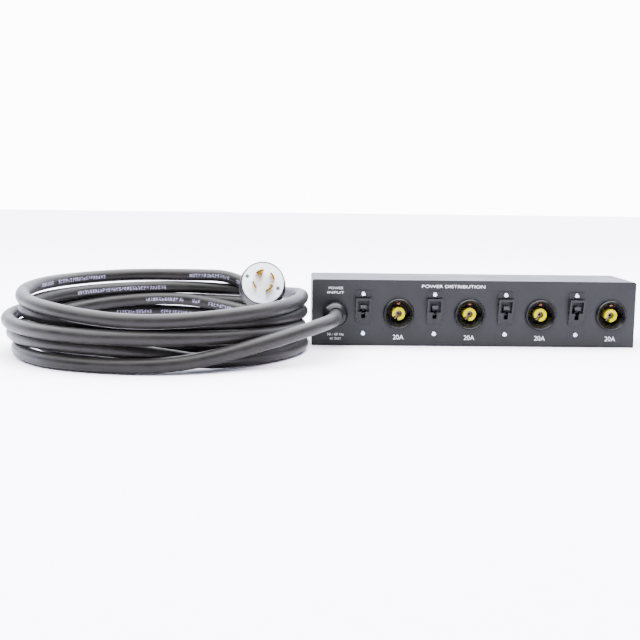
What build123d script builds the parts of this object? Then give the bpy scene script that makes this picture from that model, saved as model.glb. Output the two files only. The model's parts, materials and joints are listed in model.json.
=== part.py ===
from build123d import *
import math
import os

# Power distribution box with four guarded toggle breakers and four round locking outlets,
# a heavy cord in a loose coil and a four-blade locking plug. Millimetres, +Z up.
# The origin is the centre of the housing's underside; the front panel faces -Y.

# ---- driving dimensions -------------------------------------------------------------------
HOUSING_WIDTH = 432.0
HOUSING_DEPTH = 102.0
HOUSING_HEIGHT = 88.0
SHEET = 1.5
SEAM = 0.2                      # gap between the front panel and the cover
CORNER = 3.0                    # rounding of the housing's upper corners
TAB_DEPTH = 30.0                # end tabs of the tray: half their length, and their height
TAB_HEIGHT = 15.0
COVER_SCREW_Y = 20.0
COVER_SCREW_Z = 8.0
FACE_HEIGHT = 43.0              # height of the controls' centre line

STATION_PITCH = 94.8            # from one breaker to the next, and one outlet to the next
STATIONS = 4
FIRST_BREAKER_X = -148.2
FIRST_OUTLET_X = -100.8
GLAND_X = -185.6

BREAKER_WIDTH = 19.0
BREAKER_DEPTH = 42.0
BREAKER_TALL = 63.5
BREAKER_SCREW_SPACING = 52.4
BREAKER_STUD_OFFSET = 20.0      # terminal studs, above and below the centre line
BREAKER_STUD_LENGTH = 9.0
SCREW_RADIUS = 1.75
SCREW_HEAD_RADIUS = 3.2
SCREW_HEAD_HEIGHT = 2.4
SCREW_RECESS_WIDTH = 0.9
SCREW_CLEARANCE = 0.1

TOGGLE_PIVOT_DEPTH = 8.5        # pivot axis behind the panel's front face
TOGGLE_REST_ANGLE = 30.0        # on: the lever points up from straight out
TOGGLE_NECK_WIDTH = 4.4
TOGGLE_TIP_WIDTH = 8.4
TOGGLE_THICKNESS = 4.0
TOGGLE_REACH = 21.0
TOGGLE_TIP_START = 15.5
PIN_RADIUS = 1.2
PIN_CLEARANCE = 0.05

GUARD_WIDTH = 20.4
GUARD_WALL = 1.5
GUARD_REACH = 11.0              # how far the hood stands off the panel at its top

BEZEL_RADIUS = 20.7
BEZEL_REACH = 4.8
BARREL_RADIUS = 17.0
SOCKET_RADIUS = 12.6
SOCKET_FLOOR = 21.0             # depth of the socket's floor behind the front face
CORE_RADIUS = 8.7
CORE_BORE = 4.4
CORE_GAP = (208.0, 262.0)       # degrees, seen from the front
BLADE_OFFSET = 6.2              # blade contact, from the outlet's centre
SPRING_OFFSET = 12.6            # top spring contact, from the outlet's centre
CONTACT_TAIL = 10.0             # contact tails behind the socket's floor

BOARD_X = 0.0                   # surge board's centre and the height of its underside
BOARD_Y = 27.0
BOARD_Z = 8.0
BOARD_LENGTH = 130.0
BOARD_DEPTH = 38.0
BOARD_THICKNESS = 1.6
TERMINAL_X = -186.0
TERMINAL_PITCH = 11.0
WIRE_RADIUS = 1.6
WIRE_BEND = 3.2
GROUND_STUD = (-150.0, 36.0)

CORD_RADIUS = 8.75
GLAND_BORE = 9.0
GLAND_RADIUS = 16.5
GLAND_REACH = 27.0
GLAND_THREAD_RADIUS = 10.0
GLAND_SLEEVE_RADIUS = 12.0
GLAND_ACROSS_FLATS = 27.0
SEAL_START = 11.0               # the seal's ends, in front of the panel
SEAL_END = 19.0

COIL_CENTRE = (-413.0, -90.0)
COIL_OUTER = 192.0
COIL_INNER = 156.0
COIL_FRONT_HEIGHT = 66.0
COIL_BACK_HEIGHT = 91.0

PLUG_FACE_CENTRE = (-281.0, -52.0, 82.4)
PLUG_AXIS = (-0.069, 0.955, -0.288)      # from the face towards the cord
PLUG_RADIUS = 29.0
PLUG_FACE_RADIUS = 27.9
PLUG_GRIP_RADIUS = 31.0
PLUG_LENGTH = 62.0
CLAMP_LENGTH = 14.0
BLADE_CIRCLE = 13.6
BLADE_REACH = 18.0
BLADE_ROOT = 3.0                # how deep the blades stand in the face
BLADE_THICKNESS = 2.3

# The cord's route, from inside the housing to the coil and from the coil to the plug.
LEAD_ROUTE = [
    (GLAND_X, -36.0, FACE_HEIGHT),
    (GLAND_X, -98.0, FACE_HEIGHT),
    (-194.0, -150.0, 45.5),
    (-222.0, -193.0, 41.5),
    (-265.0, -226.0, 32.5),
    (-316.0, -252.0, 20.5),
    (-370.0, -268.0, 11.0),
    (-425.0, -271.0, 9.0),
]
TAIL_ROUTE = [
    (-372.0, 94.0, 79.0),
    (-341.7, 89.7, 78.8),
    (-314.8, 78.5, 71.6),
    (-296.9, 58.4, 61.3),
    (-286.9, 29.7, 57.8),
    (-284.9, 1.5, 66.3),
]

# ---- values worked out from them ----------------------------------------------------------
FRONT = -HOUSING_DEPTH / 2
BACK = HOUSING_DEPTH / 2
PANEL_BACK = FRONT + SHEET
HALF_WIDTH = HOUSING_WIDTH / 2
PIVOT_Y = FRONT + TOGGLE_PIVOT_DEPTH
TAIL_Y = FRONT + SOCKET_FLOOR + CONTACT_TAIL
BOARD_TOP = BOARD_Z + BOARD_THICKNESS
TOP_SCREW_Z = FACE_HEIGHT + BREAKER_SCREW_SPACING / 2
LOW_SCREW_Z = FACE_HEIGHT - BREAKER_SCREW_SPACING / 2
BREAKER_XS = [FIRST_BREAKER_X + STATION_PITCH * n for n in range(STATIONS)]
OUTLET_XS = [FIRST_OUTLET_X + STATION_PITCH * n for n in range(STATIONS)]


# ---- helpers ------------------------------------------------------------------------------
def block(x0, x1, y0, y1, z0, z1):
    """A box between two corners."""
    centre = ((x0 + x1) / 2, (y0 + y1) / 2, (z0 + z1) / 2)
    return Pos(*centre) * Box(x1 - x0, y1 - y0, z1 - z0)


def rod_y(x, z, radius, y0, y1):
    """A cylinder along Y from y0 to y1."""
    return Pos(x, (y0 + y1) / 2, z) * Rot(90, 0, 0) * Cylinder(radius, y1 - y0)


def rod_x(y, z, radius, x0, x1):
    """A cylinder along X from x0 to x1."""
    return Pos((x0 + x1) / 2, y, z) * Rot(0, 90, 0) * Cylinder(radius, x1 - x0)


def turned(profile):
    """A solid turned about Z from (radius, height) points."""
    outline = Polyline(*[(radius, 0, height) for radius, height in profile], close=True)
    return revolve(make_face(outline), Axis.Z)


def facing_front(solid, x, z):
    """Stand a solid built along Z so that its +Z end points to the front (-Y)."""
    return Pos(x, FRONT, z) * Rot(90, 0, 0) * solid


def hexagon_y(x, z, across_flats, y0, y1):
    """A hexagonal prism along Y."""
    prism = extrude(RegularPolygon(across_flats / math.sqrt(3), 6), y1 - y0)
    return Pos(x, y1, z) * Rot(90, 0, 0) * prism


def pan_screw(x, z, seat_y, length):
    """A pan head screw pointing into the panel, with a cross recess in its head."""
    top = seat_y - SCREW_HEAD_HEIGHT
    head = rod_y(x, z, SCREW_HEAD_RADIUS, top, seat_y)
    head = fillet(head.edges().group_by(Axis.Y)[0], 1.1)
    half = SCREW_RECESS_WIDTH / 2
    slot = block(x - 2.0, x + 2.0, top - 0.1, top + 1.1, z - half, z + half)
    cross = block(x - half, x + half, top - 0.1, top + 1.1, z - 2.0, z + 2.0)
    return head - slot - cross + rod_y(x, z, SCREW_RADIUS, seat_y, seat_y + length)


def wire(points):
    """A wire with round bends through a list of points."""
    path = FilletPolyline(*points, radius=WIRE_BEND)
    return sweep(Plane(path @ 0, z_dir=path % 0) * Circle(WIRE_RADIUS), path)


def corner_radii(points):
    """The radius at each corner: 0.45 of the shorter run, over the tangent of half the turn."""
    radii = []
    for before, here, after in zip(points, points[1:], points[2:]):
        run_in = Vector(*here) - Vector(*before)
        run_out = Vector(*after) - Vector(*here)
        half_turn = math.radians(run_in.get_angle(run_out)) / 2
        radii.append(0.45 * min(run_in.length, run_out.length) / math.tan(half_turn))
    return radii


def cord_tube(name, points):
    """A plain round tube along a cord's route, and a print of its radii and volume."""
    radii = corner_radii(points)
    path = FilletPolyline(*points, radius=radii)
    tube = sweep(Plane(path @ 0, z_dir=path % 0) * Circle(CORD_RADIUS), path)
    ideal = math.pi * CORD_RADIUS ** 2 * path.length
    print(name, "radii", [round(radius) for radius in radii], "length", round(path.length, 1),
          "volume over section x length", round(tube.volume / ideal, 4))
    return tube


# ---- housing ------------------------------------------------------------------------------
def chassis_tray():
    panel = block(-HALF_WIDTH, HALF_WIDTH, FRONT, PANEL_BACK, 0, HOUSING_HEIGHT)
    panel = fillet(panel.edges().filter_by(Axis.Y).group_by(Axis.Z)[-1], CORNER)
    panel = fillet(panel.edges().filter_by(Axis.Y).group_by(Axis.Z)[0], CORNER / 2)
    inner = HALF_WIDTH - SHEET
    tray = panel + block(-inner, inner, FRONT, BACK, 0, SHEET)
    rear = block(-inner, inner, BACK - SHEET, BACK, 0, HOUSING_HEIGHT - SHEET - SEAM)
    tray += fillet(rear.edges().filter_by(Axis.Y).group_by(Axis.Z)[-1], 2.0)
    for side in (-1, 1):
        near, far = sorted((side * (inner - SHEET), side * inner))
        tray += block(near, far, -TAB_DEPTH, TAB_DEPTH, 0, TAB_HEIGHT)
    for screw in cover_screw_list():
        tray -= screw
    tray -= rod_y(GLAND_X, FACE_HEIGHT, GLAND_THREAD_RADIUS + 0.2, FRONT - 1, PANEL_BACK + 1)
    for x in BREAKER_XS:
        tray -= block(x - 5, x + 5, FRONT - 1, PANEL_BACK + 1, FACE_HEIGHT - 9.5, FACE_HEIGHT + 9.5)
        for z in (LOW_SCREW_Z, TOP_SCREW_Z):
            tray -= rod_y(x, z, SCREW_RADIUS + SCREW_CLEARANCE, FRONT - 1, PANEL_BACK + 1)
    for x in OUTLET_XS:
        tray -= rod_y(x, FACE_HEIGHT, BARREL_RADIUS + 0.2, FRONT - 1, PANEL_BACK + 1)
    return tray


def chassis_cover():
    start = PANEL_BACK + SEAM
    outer = block(-HALF_WIDTH, HALF_WIDTH, start, BACK, 0.4, HOUSING_HEIGHT)
    outer = fillet(outer.edges().filter_by(Axis.Y).group_by(Axis.Z)[-1], CORNER)
    inner_width = HALF_WIDTH - SHEET
    inner = block(-inner_width, inner_width, start - 1, BACK + 1, -1, HOUSING_HEIGHT - SHEET)
    inner = fillet(inner.edges().filter_by(Axis.Y).group_by(Axis.Z)[-1], CORNER - SHEET)
    cover = outer - inner
    for screw in cover_screw_list():
        cover -= screw
    return cover


def cover_screw_list():
    """Four flat head screws, flush with the ends of the cover."""
    screw = turned([(0, 0), (3.4, 0), (SCREW_RADIUS, 1.65), (SCREW_RADIUS, 7), (0, 7)])
    screws = []
    for side in (-1, 1):
        for y in (-COVER_SCREW_Y, COVER_SCREW_Y):
            screws.append(Pos(side * HALF_WIDTH, y, COVER_SCREW_Z) * Rot(0, -90 * side, 0) * screw)
    return screws


# ---- breakers -----------------------------------------------------------------------------
def breaker_case(x):
    half = BREAKER_WIDTH / 2
    low = FACE_HEIGHT - BREAKER_TALL / 2
    rear = PANEL_BACK + BREAKER_DEPTH
    case = block(x - half, x + half, PANEL_BACK, rear, low, low + BREAKER_TALL)
    case = fillet(case.edges().filter_by(Axis.Y), 1.0)
    pocket = block(x - 4.7, x + 4.7, PANEL_BACK - 1, PIVOT_Y + 9.5, FACE_HEIGHT - 10.5, FACE_HEIGHT + 10.5)
    case -= pocket
    case -= rod_x(PIVOT_Y, FACE_HEIGHT, PIN_RADIUS + PIN_CLEARANCE, x - 7.6, x + 7.6)
    for z in (LOW_SCREW_Z, TOP_SCREW_Z):
        case -= rod_y(x, z, SCREW_RADIUS, PANEL_BACK - 1, PANEL_BACK + 10)
    return case


def breaker_toggle(x):
    """Hub, pivot pin, neck and broad tip, built pointing to the front and then tilted up."""
    hub = rod_x(0, 0, 4.4, -4.3, 4.3)
    pin = rod_x(0, 0, PIN_RADIUS, -7.4, 7.4)
    half = TOGGLE_THICKNESS / 2
    neck = block(-TOGGLE_NECK_WIDTH / 2, TOGGLE_NECK_WIDTH / 2, -TOGGLE_TIP_START - 1, -2, -half, half)
    tip = block(-TOGGLE_TIP_WIDTH / 2, TOGGLE_TIP_WIDTH / 2, -TOGGLE_REACH, -TOGGLE_TIP_START, -2.5, 2.5)
    tip = fillet(tip.edges().filter_by(Axis.Y), 1.0)
    tip = fillet(tip.edges().group_by(Axis.Y)[0], 0.8)
    lever = Rot(-TOGGLE_REST_ANGLE, 0, 0) * (hub + pin + neck + tip)
    return Pos(x, PIVOT_Y, FACE_HEIGHT) * lever


def breaker_guard(x):
    half = GUARD_WIDTH / 2
    hood_top = TOP_SCREW_Z - 5.0
    hood_foot = TOP_SCREW_Z - 39.8
    skin = FRONT - GUARD_WALL

    def wedge(points, width):
        side = make_face(Plane.YZ * Polyline(*points, close=True))
        return Pos(x - width / 2, 0, 0) * extrude(side, width, dir=(1, 0, 0))

    outside = [(FRONT, hood_foot), (skin, hood_foot), (FRONT - GUARD_REACH, hood_top), (FRONT, hood_top)]
    inside = [(FRONT + 1, hood_foot + 4), (skin + 0.8, hood_foot + 4),
              (FRONT - GUARD_REACH + GUARD_WALL, hood_top - GUARD_WALL), (FRONT + 1, hood_top - GUARD_WALL)]
    guard = wedge(outside, GUARD_WIDTH) - wedge(inside, GUARD_WIDTH - 2 * GUARD_WALL)
    flange = block(x - half, x + half, skin, FRONT, hood_top, TOP_SCREW_Z + 4.7)
    flange = fillet(flange.edges().filter_by(Axis.Y).group_by(Axis.Z)[-1], 1.5)
    guard += flange
    reach = FRONT - GUARD_REACH - 5
    guard -= block(x - 7.6, x + 7.6, reach, skin, TOP_SCREW_Z - 23.2, TOP_SCREW_Z - 7.8)
    guard -= block(x - 2.7, x + 2.7, reach, FRONT + 1, TOP_SCREW_Z - 32.0, TOP_SCREW_Z - 22.0)
    return guard - rod_y(x, TOP_SCREW_Z, SCREW_RADIUS + SCREW_CLEARANCE, skin - 1, FRONT + 1)


def breaker_screws():
    screws = []
    for x in BREAKER_XS:
        screws.append(pan_screw(x, TOP_SCREW_Z, FRONT - GUARD_WALL, 10))
        screws.append(pan_screw(x, LOW_SCREW_Z, FRONT, 9))
    return screws


def breaker_terminals():
    rear = PANEL_BACK + BREAKER_DEPTH
    studs = []
    for x in BREAKER_XS:
        for z in (FACE_HEIGHT - BREAKER_STUD_OFFSET, FACE_HEIGHT + BREAKER_STUD_OFFSET):
            stud = rod_y(x, z, 2.4, rear, rear + BREAKER_STUD_LENGTH)
            studs.append(stud + hexagon_y(x, z, 8, rear, rear + 3.2))
    return studs


# ---- outlets ------------------------------------------------------------------------------
def outlet_shell(x):
    lip = BEZEL_REACH
    shell = turned([
        (SOCKET_RADIUS, -SOCKET_FLOOR), (SOCKET_RADIUS, -3.0), (18.0, lip - 0.6), (18.6, lip),
        (19.4, lip), (BEZEL_RADIUS - 0.3, lip - 1.2), (BEZEL_RADIUS, lip - 2.4), (BEZEL_RADIUS, 0),
        (BARREL_RADIUS, 0), (BARREL_RADIUS, -SOCKET_FLOOR),
    ])
    for side in (-1, 1):
        keyway = Pos(side * 12.3, 0, -SOCKET_FLOOR / 2 + 4) * Box(6.8, 6.4, SOCKET_FLOOR + 8.2)
        shell -= keyway
    shell -= Pos(0, 12.5, -SOCKET_FLOOR / 2 + 4) * Box(4.4, 3.6, SOCKET_FLOOR + 8.2)
    return facing_front(shell, x, FACE_HEIGHT)


def outlet_core(x):
    core = Pos(0, 0, -SOCKET_FLOOR / 2) * Cylinder(CORE_RADIUS, SOCKET_FLOOR)
    core = fillet(core.edges().group_by(Axis.Z)[-1], 0.9)
    core -= Cylinder(CORE_BORE, 3 * SOCKET_FLOOR)
    start, end = CORE_GAP
    spread = [(0, 0)]
    for angle in (start, (start + end) / 2, end):
        turn = math.radians(angle)
        spread.append((14 * math.cos(turn), 14 * math.sin(turn)))
    gap = extrude(make_face(Polyline(*spread, close=True)), SOCKET_FLOOR, both=True)
    return facing_front(core - gap, x, FACE_HEIGHT)


def gap_spot():
    """Where the blade stands in the core's gap, from the outlet's centre."""
    middle = math.radians(sum(CORE_GAP) / 2)
    return BLADE_OFFSET * math.cos(middle), BLADE_OFFSET * math.sin(middle)


def outlet_contact_list():
    """Centre socket, blade in the core's gap and top spring, in the outlet's own frame."""
    floor = -SOCKET_FLOOR
    tail = floor - CONTACT_TAIL
    root = floor - 4
    socket = turned([(1.9, floor), (1.9, -5), (3.0, -5), (3.0, root), (0, root), (0, floor)])
    socket += Pos(0, 0, (root + tail) / 2) * Box(3.8, 1.0, root - tail)
    blade_x, blade_y = gap_spot()
    turned_blade = Rot(0, 0, sum(CORE_GAP) / 2) * Box(5.0, 1.2, -4 - tail)
    blade_piece = Pos(blade_x, blade_y, (tail - 4) / 2) * turned_blade
    spring = Pos(0, SPRING_OFFSET, (tail - 8) / 2) * Box(3.8, 0.9, -8 - tail)
    return [socket, blade_piece, spring]


def outlet_contacts(x):
    return [facing_front(contact, x, FACE_HEIGHT) for contact in outlet_contact_list()]


def outlet_base(x):
    base = Pos(0, 0, -SOCKET_FLOOR - 2) * Cylinder(BARREL_RADIUS, 4)
    for contact in outlet_contact_list():
        base -= contact
    return facing_front(base, x, FACE_HEIGHT)


def outlet_nuts():
    nuts = []
    for x in OUTLET_XS:
        nut = hexagon_y(x, FACE_HEIGHT, 41, PANEL_BACK, PANEL_BACK + 5)
        nuts.append(nut - rod_y(x, FACE_HEIGHT, BARREL_RADIUS, PANEL_BACK - 1, PANEL_BACK + 6))
    return nuts


# ---- cord gland ---------------------------------------------------------------------------
def gland_bore():
    return rod_y(GLAND_X, FACE_HEIGHT, GLAND_BORE, FRONT - 40, FRONT + 40)


def gland_body():
    body = hexagon_y(GLAND_X, FACE_HEIGHT, GLAND_ACROSS_FLATS, FRONT - 5, FRONT)
    body += rod_y(GLAND_X, FACE_HEIGHT, GLAND_THREAD_RADIUS, FRONT, FRONT + 13)
    body += rod_y(GLAND_X, FACE_HEIGHT, GLAND_SLEEVE_RADIUS, FRONT - SEAL_START, FRONT - 5)
    return body - gland_bore()


def gland_nut():
    """Domed nut with shallow grip flutes around its skirt."""
    nut = turned([(GLAND_SLEEVE_RADIUS, 5), (GLAND_RADIUS - 1, 5), (GLAND_RADIUS, 6), (GLAND_RADIUS, 16),
                  (15.6, 20), (13.6, 24), (11.2, 26.4), (10.2, GLAND_REACH), (9.2, GLAND_REACH),
                  (9.2, SEAL_END), (GLAND_SLEEVE_RADIUS, SEAL_END)])
    for n in range(12):
        nut -= Rot(0, 0, 30 * n) * Pos(GLAND_RADIUS + 1.6, 0, 9) * Cylinder(2.2, 14)
    return facing_front(nut, GLAND_X, FACE_HEIGHT)


def gland_seal():
    seal = turned([(CORD_RADIUS, SEAL_START), (GLAND_SLEEVE_RADIUS, SEAL_START),
                   (GLAND_SLEEVE_RADIUS, SEAL_END), (CORD_RADIUS, SEAL_END)])
    return facing_front(seal, GLAND_X, FACE_HEIGHT)


def gland_locknut():
    nut = hexagon_y(GLAND_X, FACE_HEIGHT, GLAND_ACROSS_FLATS, PANEL_BACK, PANEL_BACK + 5)
    return nut - rod_y(GLAND_X, FACE_HEIGHT, GLAND_THREAD_RADIUS, PANEL_BACK - 1, PANEL_BACK + 6)


# ---- inside the housing -------------------------------------------------------------------
def board_corners():
    for side in (-1, 1):
        for end in (-1, 1):
            yield BOARD_X + side * (BOARD_LENGTH / 2 - 6), BOARD_Y + end * (BOARD_DEPTH / 2 - 5)


def surge_board():
    board = Pos(BOARD_X, BOARD_Y, BOARD_Z + BOARD_THICKNESS / 2)
    board = board * Box(BOARD_LENGTH, BOARD_DEPTH, BOARD_THICKNESS)
    for x, y in board_corners():
        board -= Pos(x, y, BOARD_Z) * Cylinder(1.6, 10)
    return board


def board_standoffs():
    posts = []
    for x, y in board_corners():
        post = Pos(x, y, (SHEET + BOARD_Z) / 2) * Cylinder(3.2, BOARD_Z - SHEET)
        screw = Pos(x, y, BOARD_Z + 1) * Cylinder(1.6, 2) + Pos(x, y, BOARD_TOP + 1) * Cylinder(3.0, 2)
        posts.append(post + screw)
    return posts


def surge_parts():
    """Three varistor discs standing on the board and a ceramic fuse lying on it."""
    parts = []
    for n in range(3):
        disc = Pos(-45 + 26 * n, BOARD_Y, BOARD_TOP + 12) * Rot(0, 90, 0) * Cylinder(10, 5)
        parts.append(fillet(disc.edges(), 1.5))
    fuse = Pos(40, BOARD_Y, BOARD_TOP + 3.5) * Rot(0, 90, 0)
    parts.append(fuse * Cylinder(3.2, 24) + fuse * Pos(0, 0, 14) * Cylinder(3.5, 6)
                 + fuse * Pos(0, 0, -14) * Cylinder(3.5, 6))
    return parts


def terminal_block():
    """Three-way screw terminal block on the floor behind the gland."""
    body = block(TERMINAL_X - 18, TERMINAL_X + 18, 8, 30, SHEET, 20)
    for n in (-1, 0, 1):
        x = TERMINAL_X + TERMINAL_PITCH * n
        body -= rod_y(x, 12, 2.6, 0, 40)
        body -= Pos(x, 19, 18) * Cylinder(2.4, 8)
    return body


def ground_stud():
    x, y = GROUND_STUD
    stud = Pos(x, y, SHEET + 7) * Cylinder(2.5, 14)
    return stud + Pos(x, y, SHEET) * extrude(RegularPolygon(5.2, 6), 4)


def wires_line():
    """Supply to the upper studs, one breaker to the next, and each lower stud to its outlet."""
    rear = PANEL_BACK + BREAKER_DEPTH + BREAKER_STUD_LENGTH
    high = FACE_HEIGHT + BREAKER_STUD_OFFSET
    low = FACE_HEIGHT - BREAKER_STUD_OFFSET
    runs = [[(TERMINAL_X, 30, 12), (TERMINAL_X, 40, 12), (TERMINAL_X, 40, high),
             (BREAKER_XS[0] - 2, 40, high), (BREAKER_XS[0] - 2, rear, high)]]
    for here, following in zip(BREAKER_XS, BREAKER_XS[1:]):
        runs.append([(here + 2, rear, high), (here + 2, 20, high),
                     (following - 2, 20, high), (following - 2, rear, high)])
    for breaker, outlet in zip(BREAKER_XS, OUTLET_XS):
        aside = outlet + 8
        runs.append([(breaker, rear, low), (breaker, rear + 8, low), (aside, rear + 8, low),
                     (aside, rear + 8, FACE_HEIGHT), (aside, -6, FACE_HEIGHT),
                     (outlet, -6, FACE_HEIGHT), (outlet, TAIL_Y, FACE_HEIGHT)])
    return [wire(points) for points in runs]


def wires_neutral():
    """Supply to the first outlet, and each outlet to the next, behind the contacts' tails."""
    dx, dz = gap_spot()
    height = FACE_HEIGHT + dz
    start_x = TERMINAL_X + TERMINAL_PITCH
    runs = [[(start_x, 30, 12), (start_x, 46, 12), (start_x, 46, height),
             (OUTLET_XS[0] + dx - 2, 46, height), (OUTLET_XS[0] + dx - 2, TAIL_Y, height)]]
    for here, following in zip(OUTLET_XS, OUTLET_XS[1:]):
        runs.append([(here + dx + 2, TAIL_Y, height), (here + dx + 2, 26, height),
                     (following + dx - 2, 26, height), (following + dx - 2, TAIL_Y, height)])
    return [wire(points) for points in runs]


def wires_ground():
    """Ground stud to the first outlet's spring, and each outlet to the next."""
    height = FACE_HEIGHT + SPRING_OFFSET
    stud_x, stud_y = GROUND_STUD
    runs = [[(stud_x, stud_y, SHEET + 14), (stud_x, stud_y, height),
             (OUTLET_XS[0] - 2, stud_y, height), (OUTLET_XS[0] - 2, TAIL_Y, height)]]
    for here, following in zip(OUTLET_XS, OUTLET_XS[1:]):
        runs.append([(here + 2, TAIL_Y, height), (here + 2, 33, height),
                     (following - 2, 33, height), (following - 2, TAIL_Y, height)])
    return [wire(points) for points in runs]


# ---- plug ---------------------------------------------------------------------------------
# The plug is built along +Z: its face looks to -Z and the cord comes out at the +Z end.
def plug_place():
    return Plane(origin=PLUG_FACE_CENTRE, x_dir=(1, 0, 0), z_dir=PLUG_AXIS).location


def plug_shell():
    """Body with a rim round the face, a fluted grip and a shoulder down to the cord's clamp."""
    grip = PLUG_GRIP_RADIUS
    shell = turned([
        (0, 7), (PLUG_FACE_RADIUS, 7), (PLUG_FACE_RADIUS, 0), (PLUG_RADIUS - 0.4, 0), (PLUG_RADIUS, 0.6),
        (PLUG_RADIUS, 9), (grip - 0.8, 13), (grip, 16), (grip, 38), (grip - 1.5, 42), (25.5, 49),
        (22.5, 53), (21.5, PLUG_LENGTH), (0, PLUG_LENGTH),
    ])
    for n in range(16):
        shell -= Rot(0, 0, 22.5 * n) * Pos(grip + 1.2, 0, 27) * Cylinder(1.9, 20)
    shell -= Pos(0, 0, PLUG_LENGTH - 6) * Cylinder(CORD_RADIUS + 0.3, 14)
    return plug_place() * shell


def on_face(radius, angle):
    """A spot on the plug's face, by its angle seen from the front: the plug's own +Y points down."""
    turn = math.radians(angle)
    return radius * math.cos(turn), -radius * math.sin(turn)


def blade(angle, spread):
    """A curved contact blade on the blade circle, by its middle angle seen from the front."""
    turns = [angle + spread * part for part in (-0.5, 0, 0.5)]
    outer = [on_face(BLADE_CIRCLE + BLADE_THICKNESS / 2, turn) for turn in turns]
    inner = [on_face(BLADE_CIRCLE - BLADE_THICKNESS / 2, turn) for turn in turns]
    edges = [ThreePointArc(*outer), Line(outer[2], inner[2]), ThreePointArc(*inner),
             Line(inner[0], outer[0])]
    section = make_face(Wire(edges))
    return Pos(0, 0, -BLADE_REACH) * extrude(section, BLADE_REACH + BLADE_ROOT, dir=(0, 0, 1))


def foot(angle, inner, width):
    """The radial leg of a hooked blade."""
    x, y = on_face((inner + BLADE_CIRCLE) / 2, angle)
    leg = Box(BLADE_CIRCLE - inner, width, BLADE_REACH + BLADE_ROOT)
    return Pos(x, y, (BLADE_ROOT - BLADE_REACH) / 2) * Rot(0, 0, -angle) * leg


def plug_blade_list():
    return [blade(27, 44), blade(206, 40), blade(-53, 50) + foot(-32, 10.0, BLADE_THICKNESS)]


def ground_blade():
    return blade(113, 46) + foot(113, 7.4, BLADE_THICKNESS)


def plug_ground_blade():
    return plug_place() * ground_blade()


def plug_blades():
    return [plug_place() * item for item in plug_blade_list()]


def face_screw_spots():
    return [on_face(22.6, 157), on_face(20.8, -18.5)]


def plug_face():
    face = turned([(0, 0.2), (PLUG_FACE_RADIUS - 1, 0.2), (PLUG_FACE_RADIUS, 1.0), (PLUG_FACE_RADIUS, 7), (0, 7)])
    for item in plug_blade_list() + [ground_blade()]:
        face -= item
    for x, y in face_screw_spots():
        face -= Pos(x, y, 0) * Cylinder(2.6, 6)
        face -= Pos(x, y, 5) * Cylinder(1.4, 6)
    return plug_place() * face


def plug_face_screws():
    screws = []
    for x, y in face_screw_spots():
        head = Pos(x, y, 1.9) * Cylinder(2.5, 2.2) - Pos(x, y, 0.9) * Box(4.2, 0.8, 1.2)
        screws.append(plug_place() * (head + Pos(x, y, 4.8) * Cylinder(1.4, 4.0)))
    return screws


def clamp_screw_spots():
    return [(-17.0, 0), (17.0, 0)]


def plug_cord_clamp():
    """Two-eared clamp that grips the cord at the back of the plug."""
    middle = PLUG_LENGTH + CLAMP_LENGTH / 2
    clamp = Pos(0, 0, middle) * Cylinder(14.5, CLAMP_LENGTH)
    clamp += Pos(0, 0, middle) * Box(40, 13, CLAMP_LENGTH)
    clamp = fillet(clamp.edges().filter_by(Axis.Z), 1.5)
    clamp -= Pos(0, 0, middle) * Cylinder(CORD_RADIUS, CLAMP_LENGTH + 2)
    for x, y in clamp_screw_spots():
        clamp -= Pos(x, y, middle) * Rot(90, 0, 0) * Cylinder(1.8, 30)
    return plug_place() * clamp


def plug_clamp_screws():
    screws = []
    middle = PLUG_LENGTH + CLAMP_LENGTH / 2
    for x, y in clamp_screw_spots():
        shank = Pos(x, y, middle) * Rot(90, 0, 0) * Cylinder(1.8, 17)
        head = Pos(x, -7.6, middle) * Rot(90, 0, 0) * Cylinder(3.2, 2.2)
        screws.append(plug_place() * (shank + head))
    return screws


# ---- cord ---------------------------------------------------------------------------------
def cord_coil():
    """The closed outer shape of the loose coil: a ring whose top rises towards the back."""
    x, y = COIL_CENTRE
    tall = COIL_BACK_HEIGHT + 10
    ring = turned([(COIL_INNER, 0), (COIL_OUTER - 5, 0), (COIL_OUTER, 5), (COIL_OUTER, tall), (COIL_INNER, tall)])
    ring = Pos(x, y, 0) * ring
    rise = (COIL_BACK_HEIGHT - COIL_FRONT_HEIGHT) / (2 * COIL_OUTER)
    reach = COIL_OUTER + 20
    lowest = COIL_FRONT_HEIGHT - 20 * rise
    highest = COIL_BACK_HEIGHT + 20 * rise
    side = Plane.YZ * Polyline((y - reach, lowest), (y + reach, highest), (y + reach, tall + 50),
                               (y - reach, tall + 50), close=True)
    ring -= Pos(x - reach, 0, 0) * extrude(make_face(side), 2 * reach, dir=(1, 0, 0))
    nest = Pos(0, 0, 30) * Cylinder(PLUG_GRIP_RADIUS + 1.5, 140)
    return ring - plug_place() * nest


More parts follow.
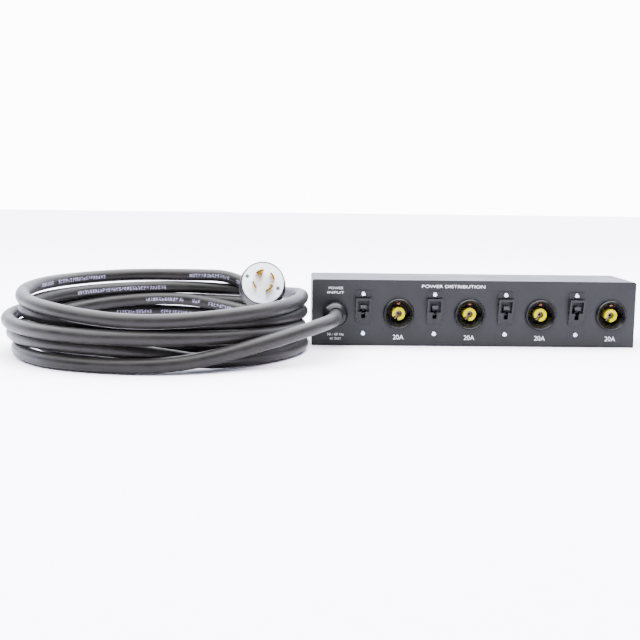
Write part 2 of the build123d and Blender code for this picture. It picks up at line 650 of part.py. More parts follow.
# ---- write every sub-part -----------------------------------------------------------------
def main():
    nodes = {
        "chassis_tray": chassis_tray(),
        "chassis_cover": chassis_cover(),
        "cover_screws": cover_screw_list(),
        "breaker_screws": breaker_screws(),
        "breaker_terminals": breaker_terminals(),
        "outlet_nuts": outlet_nuts(),
        "gland_body": gland_body(),
        "gland_nut": gland_nut(),
        "gland_seal": gland_seal(),
        "gland_locknut": gland_locknut(),
        "surge_board": surge_board(),
        "surge_parts": surge_parts(),
        "board_standoffs": board_standoffs(),
        "terminal_block": terminal_block(),
        "ground_stud": ground_stud(),
        "wires_line": wires_line(),
        "wires_neutral": wires_neutral(),
        "wires_ground": wires_ground(),
        "plug_shell": plug_shell(),
        "plug_face": plug_face(),
        "plug_blades": plug_blades(),
        "plug_ground_blade": plug_ground_blade(),
        "plug_face_screws": plug_face_screws(),
        "plug_cord_clamp": plug_cord_clamp(),
        "plug_clamp_screws": plug_clamp_screws(),
        "cord_lead": cord_tube("cord_lead", LEAD_ROUTE),
        "cord_tail": cord_tube("cord_tail", TAIL_ROUTE),
        "cord_coil": cord_coil(),
    }
    for n, x in enumerate(BREAKER_XS, start=1):
        nodes[f"breaker_{n}_case"] = breaker_case(x)
        nodes[f"breaker_{n}_toggle"] = breaker_toggle(x)
        nodes[f"breaker_{n}_guard"] = breaker_guard(x)
    for n, x in enumerate(OUTLET_XS, start=1):
        nodes[f"outlet_{n}_shell"] = outlet_shell(x)
        nodes[f"outlet_{n}_core"] = outlet_core(x)
        nodes[f"outlet_{n}_contacts"] = outlet_contacts(x)
        nodes[f"outlet_{n}_base"] = outlet_base(x)
    os.makedirs("parts", exist_ok=True)
    for name, shape in nodes.items():
        if isinstance(shape, list):
            shape = Compound(children=shape)
        export_step(shape, f"parts/{name}.step")
    print(len(nodes), "nodes")


main()
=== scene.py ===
import bpy
import bmesh
import json
import math
from mathutils import Matrix, Vector


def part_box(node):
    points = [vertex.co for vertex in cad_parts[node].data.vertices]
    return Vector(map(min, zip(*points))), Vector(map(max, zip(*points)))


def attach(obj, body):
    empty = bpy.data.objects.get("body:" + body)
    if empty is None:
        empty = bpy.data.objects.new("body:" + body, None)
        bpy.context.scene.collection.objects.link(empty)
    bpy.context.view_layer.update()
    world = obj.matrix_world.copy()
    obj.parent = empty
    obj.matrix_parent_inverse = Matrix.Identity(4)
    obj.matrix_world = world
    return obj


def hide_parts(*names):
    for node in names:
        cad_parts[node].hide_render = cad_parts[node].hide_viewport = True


# Power distribution box with guarded toggle breakers, round locking outlets and a coiled cord.
# Metres, +Z up. The origin is the centre of the housing's underside; its front faces -Y.

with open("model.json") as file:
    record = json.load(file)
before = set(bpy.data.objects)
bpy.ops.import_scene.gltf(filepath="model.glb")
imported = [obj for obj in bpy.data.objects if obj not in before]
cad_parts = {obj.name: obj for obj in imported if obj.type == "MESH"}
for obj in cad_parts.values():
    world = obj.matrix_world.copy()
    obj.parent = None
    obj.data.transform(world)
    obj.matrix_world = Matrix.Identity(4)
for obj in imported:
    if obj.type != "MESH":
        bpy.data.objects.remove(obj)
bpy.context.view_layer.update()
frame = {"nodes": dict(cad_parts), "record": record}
scene = bpy.context.scene
HOUSING = "housing"


# ---- camera -------------------------------------------------------------------------------
CAMERA_AT = Vector((-0.24326, -1.38631, 0.21342))
CAMERA_YAW = math.radians(1.632)
CAMERA_PITCH = math.radians(7.66)
CAMERA_ROLL = math.radians(-0.737)
LENS = 57.14


def add_camera():
    forward = Vector((math.sin(CAMERA_YAW) * math.cos(CAMERA_PITCH),
                      math.cos(CAMERA_YAW) * math.cos(CAMERA_PITCH), -math.sin(CAMERA_PITCH)))
    level = Vector((math.cos(CAMERA_YAW), -math.sin(CAMERA_YAW), 0))
    down = forward.cross(level)
    right = math.cos(CAMERA_ROLL) * level + math.sin(CAMERA_ROLL) * down
    below = -math.sin(CAMERA_ROLL) * level + math.cos(CAMERA_ROLL) * down
    data = bpy.data.cameras.new("camera")
    data.lens = LENS
    data.sensor_width = 36.0
    data.clip_start = 0.05
    data.clip_end = 50.0
    camera = bpy.data.objects.new("camera", data)
    turn = Matrix((right, -below, -forward)).transposed().to_4x4()
    camera.matrix_world = Matrix.Translation(CAMERA_AT) @ turn
    scene.collection.objects.link(camera)
    scene.camera = camera


# ---- material helpers ---------------------------------------------------------------------
def new_material(name, **sockets):
    """A principled material, with constant values set on the shader's own sockets."""
    mat = bpy.data.materials.new(name)
    mat.use_nodes = True
    shader = mat.node_tree.nodes["Principled BSDF"]
    for socket, value in sockets.items():
        shader.inputs[socket.replace("_", " ").title().replace("Ior", "IOR")].default_value = value
    return mat, mat.node_tree, shader


def node(tree, kind, settings=(), **inputs):
    """A node with its settings and inputs: an input is a value, or another node's output."""
    made = tree.nodes.new(kind)
    for key, value in dict(settings).items():
        setattr(made, key, value)
    for key, value in inputs.items():
        socket = made.inputs[int(key[1:])] if key[0] == "i" and key[1:].isdigit() else made.inputs[key]
        if isinstance(value, bpy.types.NodeSocket):
            tree.links.new(value, socket)
        else:
            socket.default_value = value
    return made


def place(tree):
    """The point on the surface in the row frame, in metres."""
    return node(tree, "ShaderNodeTexCoord").outputs["Object"]


def noise(tree, where, scale, detail=3.0, roughness=0.55):
    made = node(tree, "ShaderNodeTexNoise", Vector=where, Scale=scale, Detail=detail, Roughness=roughness)
    return made.outputs["Fac"]


def maths(tree, operation, first, second=0.0, third=0.0):
    made = node(tree, "ShaderNodeMath", {"operation": operation}, i0=first, i1=second, i2=third)
    return made.outputs[0]


def spread(tree, value, low, high, start=0.3, end=0.7):
    """A noise value from start to end, as a number from low to high."""
    made = node(tree, "ShaderNodeMapRange", i0=value, i1=start, i2=end, i3=low, i4=high)
    return made.outputs[0]


def mixed(tree, amount, first, second):
    """A colour between two, by amount."""
    made = node(tree, "ShaderNodeMix", {"data_type": "RGBA"}, i0=amount)
    for index, value in ((6, first), (7, second)):
        if isinstance(value, bpy.types.NodeSocket):
            tree.links.new(value, made.inputs[index])
        else:
            made.inputs[index].default_value = (*value, 1.0)
    return made.outputs[2]


def bumped(tree, shader, height, strength, distance, below=None):
    """A bump from a height, on top of an earlier bump where there is one."""
    made = node(tree, "ShaderNodeBump", Height=height, Strength=strength, Distance=distance)
    if below is not None:
        tree.links.new(below, made.inputs["Normal"])
    tree.links.new(made.outputs["Normal"], shader.inputs["Normal"])
    return made.outputs["Normal"]


def moulded(name, dark, light, rough, grain=1400.0, depth=0.00004, patches=60.0, **sockets):
    """Moulded or painted surface: soft patches of colour and gloss over a fine grain."""
    mat, tree, shader = new_material(name, **sockets)
    where = place(tree)
    patch = noise(tree, where, patches)
    colour = mixed(tree, spread(tree, patch, 0.0, 1.0), dark, light)
    tree.links.new(colour, shader.inputs["Base Color"])
    fine = noise(tree, where, grain, 2.0)
    worn = maths(tree, "ADD", spread(tree, patch, rough[0], rough[1]), spread(tree, fine, -0.04, 0.04))
    tree.links.new(worn, shader.inputs["Roughness"])
    bumped(tree, shader, fine, 0.35, depth)
    return mat


def metal(name, dark, light, rough, streaks=(300.0, 300.0, 2500.0)):
    """Bare metal with brushed streaks and a little tarnish."""
    mat, tree, shader = new_material(name, metallic=1.0)
    where = place(tree)
    stretched = node(tree, "ShaderNodeVectorMath", {"operation": "MULTIPLY"}, i0=where, i1=streaks)
    streak = noise(tree, stretched.outputs[0], 1.0, 2.0)
    tarnish = noise(tree, where, 220.0)
    colour = mixed(tree, spread(tree, tarnish, 0.0, 1.0), dark, light)
    tree.links.new(colour, shader.inputs["Base Color"])
    tree.links.new(spread(tree, streak, rough[0], rough[1]), shader.inputs["Roughness"])
    bumped(tree, shader, streak, 0.2, 0.00003)
    return mat


def painted_steel():
    """Black powder coat: orange-peel bumps, faint dust and paler wear on the folded edges."""
    mat, tree, shader = new_material("housing_paint", specular_ior_level=0.16)
    where = place(tree)
    cloud = noise(tree, where, 14.0, 5.0)
    peel = noise(tree, where, 900.0, 2.0)
    specks = noise(tree, where, 2600.0, 1.0)
    body = mixed(tree, spread(tree, cloud, 0.0, 1.0), (0.006, 0.0065, 0.0065), (0.011, 0.0115, 0.012))
    dust = spread(tree, specks, 0.0, 0.5, 0.66, 0.78)
    body = mixed(tree, dust, body, (0.035, 0.034, 0.036))
    edge = node(tree, "ShaderNodeBevel", {"samples": 4}, Radius=0.0011)
    flat = node(tree, "ShaderNodeNewGeometry")
    facing = node(tree, "ShaderNodeVectorMath", {"operation": "DOT_PRODUCT"},
                  i0=edge.outputs["Normal"], i1=flat.outputs["True Normal"])
    rim = spread(tree, facing.outputs["Value"], 0.55, 0.0, 0.75, 0.97)
    body = mixed(tree, rim, body, (0.05, 0.05, 0.052))
    tree.links.new(body, shader.inputs["Base Color"])
    tree.links.new(spread(tree, cloud, 0.34, 0.46), shader.inputs["Roughness"])
    lower = bumped(tree, shader, peel, 0.30, 0.00012)
    bumped(tree, shader, specks, 0.15, 0.00004, lower)
    return mat


# The marks printed on the cord: small strokes in columns and rows, broken into letters and words.
MARK_COLUMNS = 950.0            # per metre of cord
MARK_ROWS = 64.0                # per turn round it
COLUMNS_PER_LETTER = 4
COLUMNS_PER_WORD = 12
PRINTS_PER_METRE = 3.82         # stretches of print, each with a blank after it
PRINT_START = 0.54
PRINTED_PART = 0.53
PRINT_HALF_WIDTH = 0.045        # of a turn


def flags(tree, cell):
    """A random number from 0 to 1 for each whole-numbered cell."""
    made = node(tree, "ShaderNodeTexWhiteNoise", {"noise_dimensions": "2D"}, Vector=cell)
    return made.outputs["Value"]


def printed_marks(tree, along, round_):
    """1 where the cord is printed, on the side towards the coil's centre. No mark can be read."""
    columns = maths(tree, "MULTIPLY", along, MARK_COLUMNS)
    row = maths(tree, "FLOOR", maths(tree, "MULTIPLY", round_, MARK_ROWS))
    cell = node(tree, "ShaderNodeCombineXYZ", X=maths(tree, "FLOOR", columns), Y=row)
    marks = maths(tree, "GREATER_THAN", flags(tree, cell.outputs[0]), 0.42)
    in_letter = maths(tree, "FRACT", maths(tree, "MULTIPLY", columns, 1 / COLUMNS_PER_LETTER))
    word_number = maths(tree, "FLOOR", maths(tree, "MULTIPLY", columns, 1 / COLUMNS_PER_WORD))
    word_cell = node(tree, "ShaderNodeCombineXYZ", X=word_number)
    in_stretch = maths(tree, "FRACT", maths(tree, "MULTIPLY_ADD", along, PRINTS_PER_METRE, PRINT_START))
    off_line = maths(tree, "ABSOLUTE", maths(tree, "SUBTRACT", round_, 0.5))
    masks = [
        maths(tree, "LESS_THAN", in_letter, 0.76),
        maths(tree, "GREATER_THAN", flags(tree, word_cell.outputs[0]), 0.18),
        maths(tree, "LESS_THAN", in_stretch, PRINTED_PART),
        maths(tree, "LESS_THAN", off_line, PRINT_HALF_WIDTH),
    ]
    for mask in masks:
        marks = maths(tree, "MULTIPLY", marks, mask)
    return marks


def cord_jacket():
    """Rubber jacket: faint lengthwise lines, scuffs and a worn line of printed marks along one side.

    The mesh's UV map holds metres along the cord, and the part of a turn round it."""
    mat, tree, shader = new_material("cord_jacket", specular_ior_level=0.17, sheen_weight=0.02,
                                     sheen_roughness=0.5)
    uv = node(tree, "ShaderNodeSeparateXYZ", Vector=node(tree, "ShaderNodeTexCoord").outputs["UV"])
    along, round_ = uv.outputs["X"], uv.outputs["Y"]
    where = place(tree)
    scuff = noise(tree, where, 45.0, 6.0, 0.65)
    lines_at = node(tree, "ShaderNodeCombineXYZ", X=maths(tree, "MULTIPLY", along, 6.0),
                    Y=maths(tree, "MULTIPLY", round_, 90.0))
    lines = noise(tree, lines_at.outputs[0], 1.0, 2.0)
    grain = noise(tree, where, 1500.0, 2.0)
    scuffed = spread(tree, scuff, 0.0, 1.0, 0.35, 0.7)
    body = mixed(tree, scuffed, (0.0036, 0.0033, 0.0027), (0.0084, 0.0074, 0.0064))
    grains = spread(tree, grain, 0.0, 1.0, 0.55, 0.8)
    dust = maths(tree, "MULTIPLY", grains, spread(tree, scuff, 0.1, 0.5))
    body = mixed(tree, dust, body, (0.020, 0.019, 0.018))

    printed = printed_marks(tree, along, round_)
    ink = maths(tree, "MULTIPLY", printed, spread(tree, scuff, 0.95, 0.55, 0.3, 0.75))
    body = mixed(tree, ink, body, (0.22, 0.21, 0.30))
    tree.links.new(body, shader.inputs["Base Color"])
    tree.links.new(spread(tree, scuff, 0.34, 0.50), shader.inputs["Roughness"])
    lower = bumped(tree, shader, lines, 0.25, 0.0003)
    bumped(tree, shader, grain, 0.3, 0.00008, lower)
    return mat


# ---- cord ---------------------------------------------------------------------------------
CORD_RADIUS = 0.00875
CORD_SIDES = 28
RING_GAP = 0.003                # from one ring of the cord's mesh to the next
RIPPLE = 0.00012                # how far the jacket dips in its shallow ripples
FLOOR_GAP = 0.0002
LEAD_ROUTE = [
    (-0.1856, -0.036, 0.043),
    (-0.1856, -0.098, 0.043),
    (-0.194, -0.150, 0.0455),
    (-0.222, -0.193, 0.0415),
    (-0.265, -0.226, 0.0325),
    (-0.316, -0.252, 0.0205),
    (-0.370, -0.268, 0.011),
    (-0.425, -0.271, 0.009),
]
TAIL_ROUTE = [
    (-0.372, 0.094, 0.079),
    (-0.3417, 0.0897, 0.0788),
    (-0.3148, 0.0785, 0.0716),
    (-0.2969, 0.0584, 0.0613),
    (-0.2869, 0.0297, 0.0578),
    (-0.2849, 0.0015, 0.0663),
]
COIL_CENTRE = (-0.413, -0.090)
POINTS_PER_TURN = 20

# Each turn of the loose coil: degrees round from the front, clockwise from above; then the
# cord's distance from the coil's centre and its height, in millimetres.
COIL_TURNS = [
    # first turn, lying on the floor
    (30, 180, 9), (90, 172, 9), (135, 174, 9), (180, 177, 9), (225, 181, 9), (270, 184, 9), (300, 174, 9),
    # second turn climbs onto the first, and drops inside it at the right
    (318, 170, 9), (334, 164, 9.5), (346, 162, 15), (360, 168, 24), (390, 171, 27), (450, 181, 26.5),
    (495, 180, 27), (540, 177, 27), (562, 166, 23), (585, 163, 15), (630, 160, 10), (660, 153, 17),
    # third turn starts innermost, on the first one's shoulder, and rises at the back
    (678, 151, 20), (694, 149, 22), (706, 147.5, 26), (720, 149, 22), (765, 153, 17.5), (810, 161, 30),
    (855, 163, 41), (900, 164, 47), (922, 166, 40), (940, 172, 31), (955, 179, 29), (975, 180, 30),
    (990, 181, 32), (1020, 180, 35), (1045, 177, 38),
    # fourth turn, the widest at the left
    (1080, 177, 40), (1125, 184, 42.5), (1170, 185, 44), (1215, 186, 45), (1260, 184, 44),
    (1290, 185, 42.5), (1315, 189, 44), (1335, 187, 47), (1350, 181, 50), (1395, 166, 50),
    # fifth turn swings wide round the plug at the back right
    (1440, 154, 52), (1485, 158, 53), (1530, 167, 56), (1575, 170, 60), (1620, 174, 62.5),
    (1638, 191, 60), (1650, 207, 56.5), (1661, 210, 57), (1676, 203, 61), (1695, 188, 66),
    (1710, 181, 67.5), (1755, 178, 64),
    # last turn, on top, up to the tail
    (1800, 173, 58), (1845, 170, 68), (1890, 167, 75), (1935, 179, 78), (1965, 184, 79.5),
]


def eased(angle, column):
    """The coil's radius or height at an angle: a smooth curve through the table's values."""
    last = len(COIL_TURNS) - 1
    index = max(n for n in range(last) if COIL_TURNS[n][0] <= angle or n == 0)
    spans = [turn[0] for turn in COIL_TURNS]
    values = [turn[column] for turn in COIL_TURNS]

    def slope(n):
        low, high = max(n - 1, 0), min(n + 1, last)
        return (values[high] - values[low]) / (spans[high] - spans[low])

    step = spans[index + 1] - spans[index]
    part = (angle - spans[index]) / step
    return ((2 * part ** 3 - 3 * part ** 2 + 1) * values[index]
            + (part ** 3 - 2 * part ** 2 + part) * step * slope(index)
            + (3 * part ** 2 - 2 * part ** 3) * values[index + 1]
            + (part ** 3 - part ** 2) * step * slope(index + 1))


def coil_points():
    """Control points round the coil, set a little wide because the spline cuts inside them."""
    first, last = COIL_TURNS[0][0], COIL_TURNS[-1][0]
    steps = round((last - first) * POINTS_PER_TURN / 360)
    wide = 4 / (3 + math.cos(2 * math.pi / POINTS_PER_TURN))
    points = []
    for n in range(steps + 1):
        angle = first + (last - first) * n / steps
        radius = eased(angle, 1) * wide / 1000
        height = max(eased(angle, 2) / 1000, CORD_RADIUS + FLOOR_GAP)
        turn = math.radians(angle)
        x = COIL_CENTRE[0] - radius * math.sin(turn)
        y = COIL_CENTRE[1] - radius * math.cos(turn)
        points.append((x, y, height))
    return points


def cord_line():
    """The cord's centreline: points read from one NURBS spline through the whole route."""
    curve = bpy.data.curves.new("cord_line", "CURVE")
    curve.dimensions = "3D"
    curve.resolution_u = 10
    spline = curve.splines.new("NURBS")
    points = LEAD_ROUTE + coil_points() + TAIL_ROUTE
    spline.points.add(len(points) - 1)
    for point, spot in zip(spline.points, points):
        point.co = (*spot, 1.0)
    spline.order_u = 3
    spline.use_endpoint_u = True
    holder = bpy.data.objects.new("cord_line", curve)
    scene.collection.objects.link(holder)
    line = bpy.data.meshes.new_from_object(holder)
    spots = [vertex.co.copy() for vertex in line.vertices]
    bpy.data.objects.remove(holder)
    bpy.data.meshes.remove(line)
    return spots


def evenly(line, gap):
    """The same line with a point every gap metres, and how far along each one is."""
    spots, marks = [line[0]], [0.0]
    travelled = 0.0
    wanted = gap
    for before, after in zip(line, line[1:]):
        run = (after - before).length
        while run > 0 and travelled + run >= wanted:
            spots.append(before.lerp(after, (wanted - travelled) / run))
            marks.append(wanted)
            wanted += gap
        travelled += run
    if travelled - marks[-1] > gap / 4:
        spots.append(line[-1].copy())
        marks.append(travelled)
    return spots, marks


def tube(name, line, radius, sides, gap, ripple):
    """A mesh tube along a line, with a UV map of metres along it and the part of a turn round it.

    The turn starts at the side away from the coil's centre, so 0.5 is the side towards it."""
    spots, marks = evenly(line, gap)
    mesh = bmesh.new()
    uv = mesh.loops.layers.uv.new("UVMap")
    rings = []
    for index, spot in enumerate(spots):
        ahead = spots[min(index + 1, len(spots) - 1)] - spots[max(index - 1, 0)]
        side = Vector((0, 0, 1)).cross(ahead).normalized()
        top = ahead.cross(side).normalized()
        ring = []
        for n in range(sides):
            turn = 2 * math.pi * n / sides
            reach = radius - ripple * (0.5 + 0.5 * math.sin(3 * turn + marks[index] * 55))
            ring.append(mesh.verts.new(spot + reach * (math.cos(turn) * side + math.sin(turn) * top)))
        rings.append(ring)
    for index in range(len(rings) - 1):
        for n in range(sides):
            after = (n + 1) % sides
            face = mesh.faces.new((rings[index][n], rings[index][after],
                                   rings[index + 1][after], rings[index + 1][n]))
            face.smooth = True
            corners = ((index, n), (index, n + 1), (index + 1, n + 1), (index + 1, n))
            for loop, (ring_no, part) in zip(face.loops, corners):
                loop[uv].uv = (marks[ring_no], part / sides)
    mesh.faces.new(reversed(rings[0]))
    mesh.faces.new(rings[-1])
    bmesh.ops.recalc_face_normals(mesh, faces=mesh.faces)
    return finished(name, mesh)


def finished(name, mesh):
    """An object in the scene from a bmesh."""
    data = bpy.data.meshes.new(name)
    mesh.to_mesh(data)
    mesh.free()
    made = bpy.data.objects.new(name, data)
    scene.collection.objects.link(made)
    return made


def polished(obj, width, segments=2, angle=35.0):
    """Rounds an object's sharp edges by a bevel and shades it smooth between them."""
    for face in obj.data.polygons:
        face.use_smooth = True
    bevel = obj.modifiers.new("edges", "BEVEL")
    bevel.width = width
    bevel.segments = segments
    bevel.limit_method = "ANGLE"
    bevel.angle_limit = math.radians(angle)
    bevel.harden_normals = True
    return obj


def paint(obj, mat):
    """Gives an object one material in place of those it has."""
    obj.data.materials.clear()
    obj.data.materials.append(mat)
    return obj


# ---- cord in the scene --------------------------------------------------------------------
def add_cord():
    line = cord_line()
    cord = tube("cord", line, CORD_RADIUS, CORD_SIDES, RING_GAP, RIPPLE)
    paint(cord, cord_jacket())
    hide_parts("cord_lead", "cord_coil", "cord_tail")
    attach(cord, HOUSING)


# ---- small pieces -------------------------------------------------------------------------
def lathe(name, profile, where, forward, sides):
    """A turned piece from (radius, height) points about an axis."""
    mesh = bmesh.new()
    rings = []
    for radius, height in profile:
        if radius < 1e-6:
            rings.append([mesh.verts.new((0, 0, height))])
        else:
            rings.append([mesh.verts.new((radius * math.cos(2 * math.pi * n / sides),
                                          radius * math.sin(2 * math.pi * n / sides), height))
                          for n in range(sides)])
    for low, high in zip(rings, rings[1:]):
        for n in range(sides):
            after = (n + 1) % sides
            corners = [low[n % len(low)], low[after % len(low)], high[after % len(high)], high[n % len(high)]]
            unique = list(dict.fromkeys(corners))
            if len(unique) > 2:
                mesh.faces.new(unique).smooth = True
    bmesh.ops.recalc_face_normals(mesh, faces=mesh.faces)
    turn = Vector((0, 0, 1)).rotation_difference(Vector(forward)).to_matrix().to_4x4()
    mesh.transform(Matrix.Translation(where) @ turn)
    return finished(name, mesh)


INK = 0.00012                   # half the thickness of the printed letters


def lettering(name, words, centre_x, centre_z, tall, wide, face_y, mat):
    """Printed words on the front panel: thin raised letters facing the front."""
    data = bpy.data.curves.new(name, "FONT")
    data.body = words
    data.align_x = "CENTER"
    data.align_y = "CENTER"
    data.extrude = 0.004
    data.offset = -0.008        # thin strokes, on letters one unit high
    holder = bpy.data.objects.new(name + "_holder", data)
    scene.collection.objects.link(holder)
    shape = bpy.data.meshes.new_from_object(holder)
    bpy.data.objects.remove(holder)
    spots = [vertex.co for vertex in shape.vertices]
    low = [min(spot[axis] for spot in spots) for axis in range(3)]
    high = [max(spot[axis] for spot in spots) for axis in range(3)]
    middle = Vector([(a + b) / 2 for a, b in zip(low, high)])
    scale = Matrix.Diagonal((wide / (high[0] - low[0]), tall / (high[1] - low[1]),
                             2 * INK / (high[2] - low[2]), 1.0))
    stand = Matrix.Rotation(math.pi / 2, 4, "X")
    at_panel = Matrix.Translation((centre_x, face_y, centre_z))
    shape.transform(at_panel @ stand @ scale @ Matrix.Translation(-middle))
    made = bpy.data.objects.new(name, shape)
    scene.collection.objects.link(made)
    paint(made, mat)
    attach(made, HOUSING)
    return made


def middle_of(name):
    low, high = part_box(name)
    return (low + high) / 2


def add_lettering():
    ink = moulded("panel_ink", (0.55, 0.55, 0.57), (0.75, 0.75, 0.77), (0.5, 0.6), 3000.0, 0.00002, 400.0)
    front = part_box("chassis_tray")[0].y - INK * 0.6
    for n in range(1, 5):
        outlet_x = middle_of(f"outlet_{n}_core").x
        lettering(f"rating_{n}", "20A", outlet_x, 0.0117, 0.0062, 0.0142, front, ink)
    supply_x = middle_of("gland_nut").x + 0.001
    # words, height of their middle, and width
    supply_labels = [("POWER", 0.0766, 0.0190), ("INPUT", 0.0708, 0.0220),
                     ("50 / 60 Hz", 0.0150, 0.0220), ("AC ONLY", 0.0092, 0.0150)]
    for n, (words, height, wide) in enumerate(supply_labels, start=1):
        lettering(f"supply_label_{n}", words, supply_x, height, 0.0032, wide, front, ink)
    lettering("title", "POWER DISTRIBUTION", -0.0285, 0.0800, 0.0040, 0.084, front, ink)


def add_outlet_details():
    """A small raised orange dot on each outlet's cone, straight above the core."""
    orange = moulded("dot_orange", (0.12, 0.022, 0.004), (0.18, 0.036, 0.007), (0.45, 0.55), 2500.0,
                     0.00002, 500.0)
    dome = [(0.0020, 0.0), (0.0020, 0.0005), (0.0017, 0.0009), (0.0, 0.0010)]
    for n in range(1, 5):
        core = middle_of(f"outlet_{n}_core")
        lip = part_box(f"outlet_{n}_shell")[0].y
        dot = lathe(f"outlet_{n}_dot", dome, (core.x, lip + 0.0062, core.z + 0.0138), (0.0, -0.55, -0.83), 24)
        paint(dot, orange)
        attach(dot, HOUSING)


# ---- materials on the CAD nodes -----------------------------------------------------------
def slot_materials():
    """One material for each of the record's slots."""
    case_black = moulded("case_phenolic", (0.003, 0.003, 0.003), (0.006, 0.006, 0.006), (0.5, 0.6),
                         specular_ior_level=0.2)
    gloss_black = moulded("outlet_nylon", (0.002, 0.002, 0.0024), (0.004, 0.004, 0.0048), (0.20, 0.30),
                          900.0, 0.00003, 50.0, specular_ior_level=0.15)
    shell_black = moulded("plug_rubber", (0.003, 0.003, 0.003), (0.006, 0.0058, 0.0058), (0.36, 0.48),
                          1300.0, 0.00006, 45.0, specular_ior_level=0.18)
    return {
        "housing_black": painted_steel(),
        "steel_dark": metal("black_oxide", (0.06, 0.06, 0.065), (0.12, 0.12, 0.125), (0.35, 0.5)),
        "steel_bright": metal("zinc_steel", (0.26, 0.32, 0.40), (0.50, 0.57, 0.66), (0.12, 0.24)),
        "brass": metal("brass_bare", (0.40, 0.22, 0.006), (0.66, 0.42, 0.02), (0.14, 0.26)),
        "gland_black": gloss_black,
        "outlet_black": gloss_black,
        "cord_rubber": shell_black,
        "plug_black": shell_black,
        "breaker_black": case_black,
        "base_black": case_black,
        "plug_white": moulded("face_nylon", (0.70, 0.76, 0.84), (0.80, 0.85, 0.91), (0.22, 0.32), 1100.0,
                              0.00003, 40.0, subsurface_weight=0.1, subsurface_scale=0.003),
        "toggle_grey": moulded("toggle_plastic", (0.005, 0.005, 0.006), (0.010, 0.010, 0.011),
                               (0.22, 0.32), 1500.0, 0.00004, 200.0, specular_ior_level=0.3),
        "guard_black": moulded("guard_plastic", (0.003, 0.003, 0.0035), (0.006, 0.006, 0.007),
                               (0.22, 0.32), 1200.0, 0.00004, 70.0, specular_ior_level=0.16),
        "core_yellow": moulded("core_nylon", (0.27, 0.235, 0.0), (0.37, 0.33, 0.0), (0.45, 0.55), 1500.0,
                               0.00003, 150.0, specular_ior_level=0.03),
        "board_green": moulded("solder_resist", (0.02, 0.13, 0.05), (0.03, 0.19, 0.08), (0.3, 0.4)),
        "varistor_blue": moulded("epoxy_blue", (0.03, 0.10, 0.32), (0.05, 0.15, 0.42), (0.25, 0.4)),
        "terminal_grey": moulded("terminal_plastic", (0.22, 0.22, 0.23), (0.30, 0.30, 0.31), (0.45, 0.55)),
        "wire_black": moulded("wire_black_skin", (0.02, 0.02, 0.02), (0.03, 0.03, 0.03), (0.4, 0.5)),
        "wire_white": moulded("wire_white_skin", (0.66, 0.66, 0.64), (0.76, 0.76, 0.74), (0.4, 0.5)),
        "wire_green": moulded("wire_green_skin", (0.02, 0.22, 0.06), (0.04, 0.30, 0.09), (0.4, 0.5)),
    }


# how wide the rounding of a node's sharp edges is, by slot
EDGE_ROUNDING = {
    "guard_black": 0.0004,
    "gland_black": 0.0003,
    "plug_black": 0.0003,
    "outlet_black": 0.00025,
    "toggle_grey": 0.0002,
    "core_yellow": 0.0002,
    "plug_white": 0.00015,
    "brass": 0.00012,
}


def finish_cad_nodes():
    looks = slot_materials()
    # The outlets' contacts get a dark metal in place of bare brass: painted shade for the deep holes they sit
    # in.
    contact = metal("contact_painted_shade", (0.05, 0.04, 0.03), (0.13, 0.105, 0.07), (0.3, 0.45))
    slots = {part["node"]: part["material_slot"] for part in frame["record"]["subparts"]}
    for name, obj in frame["nodes"].items():
        slot = slots[name]
        paint(obj, contact if name.endswith("_contacts") else looks[slot])
        if slot in EDGE_ROUNDING:
            polished(obj, EDGE_ROUNDING[slot])


# ---- studio -------------------------------------------------------------------------------
def add_floor():
    mesh = bmesh.new()
    bmesh.ops.create_grid(mesh, x_segments=8, y_segments=8, size=6.0)
    floor = finished("floor", mesh)
    floor.location.z = -0.0002
    mat, tree, shader = new_material("floor_paper", roughness=0.9, specular_ior_level=0.1)
    fibre = noise(tree, place(tree), 60.0)
    tint = mixed(tree, spread(tree, fibre, 0.0, 1.0), (0.885, 0.865, 0.95), (0.905, 0.885, 0.965))
    tree.links.new(tint, shader.inputs["Base Color"])
    paint(floor, mat)


def hang(name, light, where, turn):
    """Puts a light in the scene."""
    holder = bpy.data.objects.new(name, light)
    holder.location = where
    holder.rotation_euler = turn
    scene.collection.objects.link(holder)


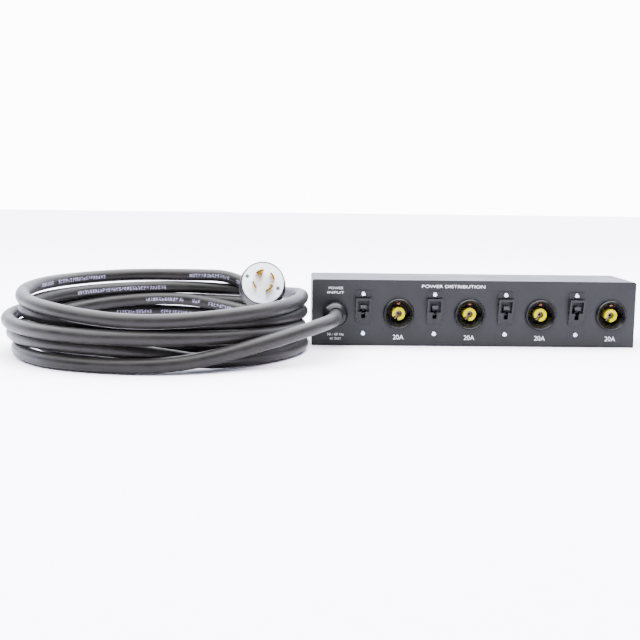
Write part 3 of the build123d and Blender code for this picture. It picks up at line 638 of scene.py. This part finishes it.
def softbox(name, where, aim, size, power, colour=(1, 1, 1)):
    light = bpy.data.lights.new(name, "AREA")
    light.shape = "RECTANGLE"
    light.size, light.size_y = size
    light.energy = power
    light.color = colour
    hang(name, light, where, (Vector(aim) - Vector(where)).to_track_quat("-Z", "Y").to_euler())


def even_light(strength, softness, tilt):
    """A very soft distant light, so that the floor is as bright far away as it is close by."""
    light = bpy.data.lights.new("even", "SUN")
    light.energy = strength
    light.angle = math.radians(softness)
    hang("even", light, (0, 0, 0), (math.radians(tilt[0]), math.radians(tilt[1]), 0))


def add_room():
    """A pale backdrop behind the object, a dimmer room in front of it, and a pale ceiling."""
    world = bpy.data.worlds.new("studio")
    scene.world = world
    world.use_nodes = True
    tree = world.node_tree
    back = tree.nodes["Background"]
    direction = node(tree, "ShaderNodeTexCoord").outputs["Generated"]
    towards = node(tree, "ShaderNodeSeparateXYZ", Vector=direction)
    backdrop = spread(tree, towards.outputs["Y"], 0.5, 6.0, -0.2, 0.5)
    ceiling = spread(tree, towards.outputs["Z"], 0.0, 1.2, 0.2, 0.9)
    light = maths(tree, "ADD", backdrop, ceiling)
    # seen directly, it is plain white
    seen = node(tree, "ShaderNodeLightPath").outputs["Is Camera Ray"]
    white = maths(tree, "MULTIPLY", seen, 13.0)
    tree.links.new(mixed(tree, seen, (0.80, 0.82, 1.0), (1.0, 1.0, 1.0)), back.inputs["Color"])
    tree.links.new(maths(tree, "MAXIMUM", light, white), back.inputs["Strength"])


def add_studio():
    add_floor()
    add_room()
    softbox("overhead", (-0.15, -0.1, 1.7), (-0.15, -0.1, 0), (2.4, 2.0), 150.0, (0.96, 0.955, 1.0))
    softbox("key_left", (-1.3, -1.2, 1.2), (-0.1, 0, 0.04), (0.3, 0.5), 14.0)
    softbox("fill_right", (1.2, -1.4, 1.0), (-0.1, 0, 0.04), (0.25, 0.45), 7.0)
    even_light(17.0, 100, (-12, -8))


add_camera()
add_cord()
finish_cad_nodes()
add_outlet_details()
add_lettering()
add_studio()
